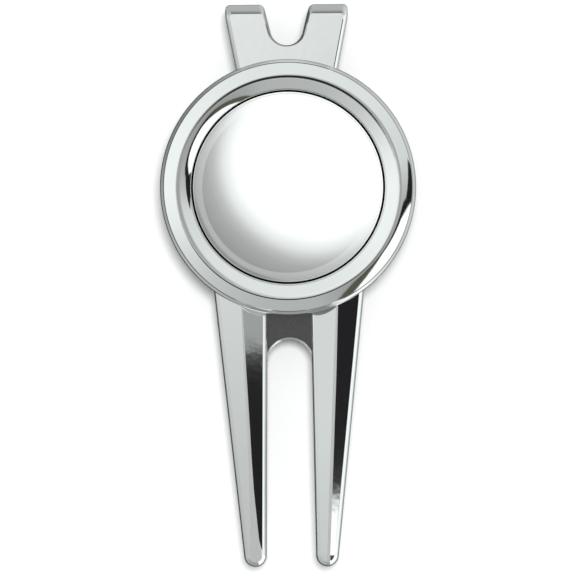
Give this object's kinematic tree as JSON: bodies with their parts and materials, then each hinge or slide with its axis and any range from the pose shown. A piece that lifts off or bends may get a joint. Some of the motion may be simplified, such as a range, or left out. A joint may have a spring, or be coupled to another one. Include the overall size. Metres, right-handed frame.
{
  "type": "golf divot repair tool",
  "caption": "Two-tined golf divot repair tool with a round head that holds a magnetic ball marker, a notched top and a sprung belt clip on its back.",
  "frame": {"origin": "on the ball marker's axis, in the flat outer face of the belt clip that the tool rests on", "axes": "+X to the tool's right, +Y towards the notched top, +Z out of the face; the tines point along -Y"},
  "size_m": [0.0336, 0.0739, 0.0104],
  "materials": {
    "chrome_plating": "bright chrome plate on a zinc casting",
    "magnet_nickel": "nickel plate",
    "magnet_glue": "cured epoxy",
    "cup_steel": "nickel-plated stamping",
    "sticky_film": "pressure-sensitive adhesive",
    "white_print": "plain printed vinyl",
    "clear_resin": "clear domed resin",
    "clip_steel": "satin nickel-plated spring steel",
    "pin_steel": "turned steel",
    "spring_steel": "drawn spring wire"
  },
  "bodies": {
    "tool": {"tool_body": "chrome_plating", "magnet": "magnet_nickel", "magnet_glue": "magnet_glue", "clip_torsion_spring": "spring_steel"},
    "marker": {"marker_cup": "cup_steel", "marker_sticky_film": "sticky_film", "marker_print": "white_print", "marker_dome": "clear_resin"},
    "clip": {"clip_lever": "clip_steel", "clip_hinge_pin": "pin_steel"}
  },
  "joints": [
    {"name": "marker_lift", "type": "slide", "parent": "tool", "child": "marker", "axis": [0, 0, 1], "range_m": [0, 0.02]},
    {"name": "clip_hinge", "type": "hinge", "parent": "tool", "child": "clip", "pos_m": [0, 0.0125, 0.0033], "axis": [1, 0, 0], "range_deg": [0, 24], "stiffness_Nm_per_rad": 0.08, "springref_deg": -20.05, "deforming": ["clip_torsion_spring"]}
  ]
}
